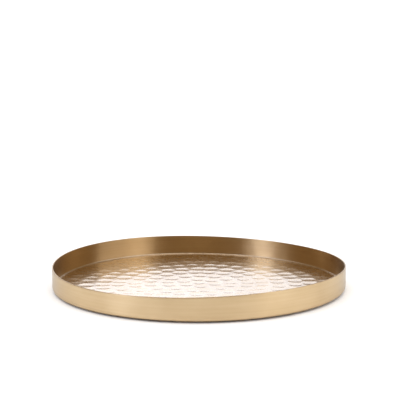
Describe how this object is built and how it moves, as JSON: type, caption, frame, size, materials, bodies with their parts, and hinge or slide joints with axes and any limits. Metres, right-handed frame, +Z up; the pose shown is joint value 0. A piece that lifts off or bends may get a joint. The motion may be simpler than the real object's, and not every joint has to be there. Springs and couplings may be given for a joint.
{
  "type": "serving tray",
  "caption": "Shallow round brass tray with a hammered floor, a plain upright side wall and felt pads underneath.",
  "frame": {"origin": "centre of the tray on the surface it stands on, under the felt pads", "axes": "+Z up out of the open top, -Y towards the front, +X to the right; the wall's seam is just behind the right-hand side"},
  "size_m": [0.3, 0.3, 0.024],
  "materials": {
    "hammered_brass": "hand-hammered in rings and polished, lacquered",
    "brushed_brass": "satin, fine brush lines running round the wall, lacquered",
    "braze": "brass brazing alloy, filed and polished, slightly paler than the sheet",
    "felt": "pressed wool felt, dark brown, self-adhesive"
  },
  "bodies": {
    "root": {"base_disc": "hammered_brass", "side_wall": "brushed_brass", "corner_braze": "braze", "wall_seam_braze": "braze", "felt_pad_1": "felt", "felt_pad_2": "felt", "felt_pad_3": "felt", "felt_pad_4": "felt"}
  },
  "joints": []
}
